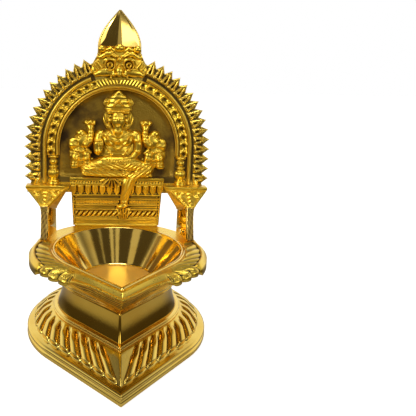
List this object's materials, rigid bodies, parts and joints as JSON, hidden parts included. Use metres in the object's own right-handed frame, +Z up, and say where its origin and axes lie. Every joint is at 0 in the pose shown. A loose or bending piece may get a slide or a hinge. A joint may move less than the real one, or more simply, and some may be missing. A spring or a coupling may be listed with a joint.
{
  "type": "figural oil lamp",
  "caption": "Brass oil lamp: fluted teardrop foot, waisted neck, spouted oil cup with leaf rim, and an arched toothed back plate with seated figure.",
  "frame": {"origin": "middle of the foot's outline, on the surface that the lamp stands on", "axes": "+Z up through the back plate's point, -Y towards the cup's spout, +X to the right seen from the front"},
  "size_m": [0.112, 0.1226, 0.1784],
  "materials": {
    "polished_brass": "polished",
    "satin_brass": "satin",
    "carved_brass": "cast relief, burnished on the crests and dark in the recesses",
    "braze_filler": "rough as run in"
  },
  "bodies": {
    "root": {"foot": "polished_brass", "step_moulding": "polished_brass", "neck": "satin_brass", "neck_pin": "polished_brass", "cup": "polished_brass", "rim_collar": "carved_brass", "back_plate": "satin_brass", "finial": "polished_brass", "arch_moulding_left": "polished_brass", "arch_moulding_right": "polished_brass", "niche_ring": "polished_brass", "monster_mask": "carved_brass", "leaf_chain": "carved_brass", "pillar_left": "carved_brass", "pillar_right": "carved_brass", "strut_left": "polished_brass", "strut_right": "polished_brass", "strut_rivet": "polished_brass", "capital_left": "carved_brass", "capital_right": "carved_brass", "braze_seam": "braze_filler", "throne_panel": "carved_brass", "goddess": "carved_brass", "attendant_left": "carved_brass", "attendant_right": "carved_brass", "rear_plaque": "carved_brass", "rear_vase": "carved_brass", "rear_bird_left": "carved_brass", "rear_bird_right": "carved_brass"}
  },
  "joints": []
}
